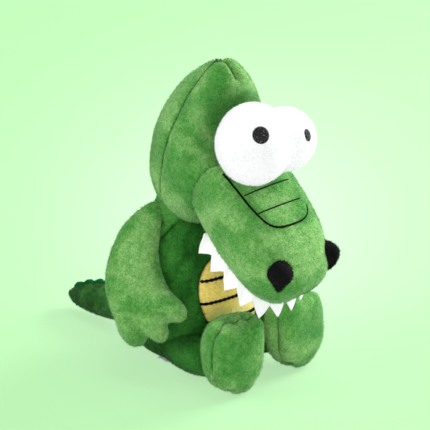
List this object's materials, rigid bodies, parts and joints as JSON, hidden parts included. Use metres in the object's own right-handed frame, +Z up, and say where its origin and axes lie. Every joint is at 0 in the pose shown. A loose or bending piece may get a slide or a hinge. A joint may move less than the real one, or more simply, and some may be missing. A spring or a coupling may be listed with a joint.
{
  "type": "stuffed dinosaur",
  "caption": "Seated plush dinosaur with a tall rounded head, big white eyes, long drooping snout with felt teeth, yellow striped belly, mitten arms, short legs and a tail.",
  "frame": {"origin": "a point on the flat seat, under the middle of the torso, on the floor", "axes": "+Z up, the face looks along -Y, the dinosaur's own left side is +X"},
  "size_m": [0.1534, 0.2596, 0.249],
  "materials": {
    "green_plush": "short brushed pile, grass green",
    "belly_plush": "short brushed pile, mustard yellow",
    "white_plush": "very short smooth pile, white",
    "black_plush": "short pile, black",
    "white_felt": "thin stiff felt, white",
    "green_felt": "thin felt, dark green",
    "black_thread": "satin-stitched thread, black",
    "fibre": "loose polyester fibre, off-white",
    "pellets": "bag of small plastic pellets",
    "label": "blank woven ribbon, pale grey"
  },
  "bodies": {
    "torso": {"torso_front": "green_plush", "belly_panel": "belly_plush", "torso_back": "green_plush", "belly_lines": "black_thread", "torso_filling": "fibre", "pellet_bag": "pellets", "care_label": "label", "neck_plug": "green_plush"},
    "head": {"head_front": "green_plush", "head_back": "green_plush", "head_filling": "fibre", "snout_cover": "green_plush", "snout_underside": "green_plush", "snout_filling": "fibre", "snout_lines": "black_thread", "eye_right": "white_plush", "eye_left": "white_plush", "eye_right_filling": "fibre", "eye_left_filling": "fibre", "pupil_right": "black_thread", "pupil_left": "black_thread", "nostril_right": "black_plush", "nostril_left": "black_plush", "teeth_strip": "white_felt"},
    "arm_right": {"arm_right": "green_plush", "arm_right_filling": "fibre"},
    "arm_left": {"arm_left": "green_plush", "arm_left_filling": "fibre"},
    "leg_right": {"leg_right": "green_plush", "leg_right_filling": "fibre", "foot_right": "green_plush", "sole_right": "green_plush", "foot_right_filling": "fibre"},
    "leg_left": {"leg_left": "green_plush", "leg_left_filling": "fibre", "foot_left": "green_plush", "sole_left": "green_plush", "foot_left_filling": "fibre"},
    "tail": {"tail_cover": "green_plush", "tail_filling": "fibre", "tail_spikes": "green_felt"}
  },
  "joints": [
    {"name": "head_nod", "type": "hinge", "parent": "torso", "child": "head", "pos_m": [0, -0.006, 0.114], "axis": [1, 0, 0], "range_deg": [-8, 3], "stiffness_Nm_per_rad": 3},
    {"name": "arm_right_raise", "type": "hinge", "parent": "torso", "child": "arm_right", "pos_m": [-0.03, 0, 0.108], "axis": [0, 1, 0], "range_deg": [-2, 30], "stiffness_Nm_per_rad": 0.3},
    {"name": "arm_left_raise", "type": "hinge", "parent": "torso", "child": "arm_left", "pos_m": [0.03, 0, 0.108], "axis": [0, -1, 0], "range_deg": [-2, 30], "stiffness_Nm_per_rad": 0.3},
    {"name": "leg_right_splay", "type": "hinge", "parent": "torso", "child": "leg_right", "pos_m": [-0.026, -0.03, 0.024], "axis": [0, 0, -1], "range_deg": [-3, 8], "stiffness_Nm_per_rad": 0.3},
    {"name": "leg_left_splay", "type": "hinge", "parent": "torso", "child": "leg_left", "pos_m": [0.026, -0.03, 0.024], "axis": [0, 0, 1], "range_deg": [-3, 8], "stiffness_Nm_per_rad": 0.3},
    {"name": "tail_wag", "type": "hinge", "parent": "torso", "child": "tail", "pos_m": [0, 0.044, 0.022], "axis": [0, 0, 1], "range_deg": [-12, 12], "stiffness_Nm_per_rad": 0.2}
  ]
}
